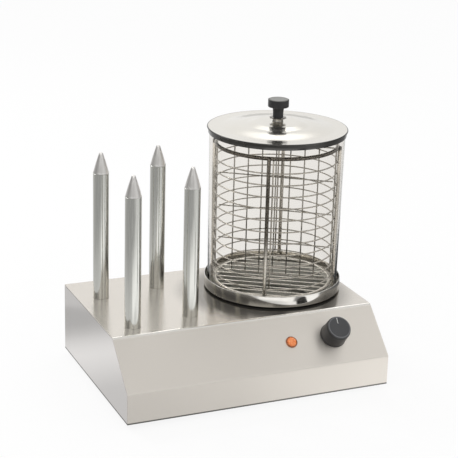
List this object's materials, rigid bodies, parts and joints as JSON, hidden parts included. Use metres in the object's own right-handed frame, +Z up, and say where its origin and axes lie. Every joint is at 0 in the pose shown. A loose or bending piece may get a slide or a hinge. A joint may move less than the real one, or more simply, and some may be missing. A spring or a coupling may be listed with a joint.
{
  "type": "hot dog machine",
  "caption": "Countertop hot dog machine: stainless casing with heated bun spikes, a glass steaming jar with wire basket and lid, control knob and pilot lamp on a sloping front.",
  "frame": {"origin": "centre of the casing's outline, on the surface that the feet stand on", "axes": "+Z up, the sloping control front faces -Y, the glass jar stands on the +X side"},
  "size_m": [0.4, 0.284, 0.3996],
  "materials": {
    "brushed_casing": "satin stainless sheet with a fine grain",
    "polished_spike": "polished tube",
    "polished_pan": "polished stainless band, duller inside",
    "lid_steel": "satin spun stainless",
    "basket_wire": "drawn stainless wire",
    "jar_glass": "clear heatproof glass",
    "zinc_steel": "zinc plated",
    "element_sheath": "heat tinted sheath",
    "black_plastic": "fine moulded grain",
    "white_plastic": "moulded",
    "amber_lens": "clear amber lens",
    "lamp_bezel": "small turned bezel",
    "ceramic": "ceramic insulating body",
    "rubber": "matt rubber",
    "wiring_sleeve": "glass fibre sleeve"
  },
  "bodies": {
    "root": {"casing_wrap": "brushed_casing", "side_panel_left": "brushed_casing", "side_panel_right": "brushed_casing", "back_panel": "brushed_casing", "base_plate": "zinc_steel", "element_clamp": "zinc_steel", "regulator_nut": "zinc_steel", "foot_screw_1": "zinc_steel", "foot_screw_2": "zinc_steel", "foot_screw_3": "zinc_steel", "foot_screw_4": "zinc_steel", "base_screw_1": "zinc_steel", "base_screw_2": "zinc_steel", "base_screw_3": "zinc_steel", "base_screw_4": "zinc_steel", "spike_collar_1": "zinc_steel", "spike_collar_2": "zinc_steel", "spike_collar_3": "zinc_steel", "spike_collar_4": "zinc_steel", "pan_gasket": "rubber", "foot_1": "rubber", "foot_2": "rubber", "foot_3": "rubber", "foot_4": "rubber", "spike_tube_1": "polished_spike", "spike_tube_2": "polished_spike", "spike_tube_3": "polished_spike", "spike_tube_4": "polished_spike", "spike_tip_1": "polished_spike", "spike_tip_2": "polished_spike", "spike_tip_3": "polished_spike", "spike_tip_4": "polished_spike", "spike_heater_1": "ceramic", "spike_heater_2": "ceramic", "spike_heater_3": "ceramic", "spike_heater_4": "ceramic", "regulator_body": "ceramic", "safety_cutout": "ceramic", "water_pan": "polished_pan", "boiler_element": "element_sheath", "lamp_nut": "black_plastic", "cable_gland": "black_plastic", "gland_locknut": "black_plastic", "terminal_block": "white_plastic", "lamp_body": "lamp_bezel", "lamp_lens": "amber_lens", "supply_lead": "wiring_sleeve", "heater_lead": "wiring_sleeve"},
    "knob": {"control_knob": "black_plastic", "knob_pointer": "white_plastic", "regulator_shaft": "zinc_steel"},
    "jar": {"glass_jar": "jar_glass"},
    "basket": {"basket_cage": "basket_wire", "basket_separator": "basket_wire", "basket_floor_grid": "basket_wire"},
    "lid": {"lid_shell": "lid_steel", "lid_screw": "zinc_steel", "lid_washer": "polished_spike", "lid_knob": "black_plastic"}
  },
  "joints": [
    {"name": "knob_turn", "type": "hinge", "parent": "root", "child": "knob", "pos_m": [0.1245, -0.10988, 0.08208], "axis": [0, 0.6836, -0.7299], "range_deg": [0, 270]},
    {"name": "jar_lift", "type": "slide", "parent": "root", "child": "jar", "axis": [0, 0, 1], "range_m": [0, 0.25]},
    {"name": "basket_lift", "type": "slide", "parent": "jar", "child": "basket", "axis": [0, 0, 1], "range_m": [0, 0.25]},
    {"name": "lid_lift", "type": "slide", "parent": "basket", "child": "lid", "axis": [0, 0, 1], "range_m": [0, 0.12]}
  ]
}
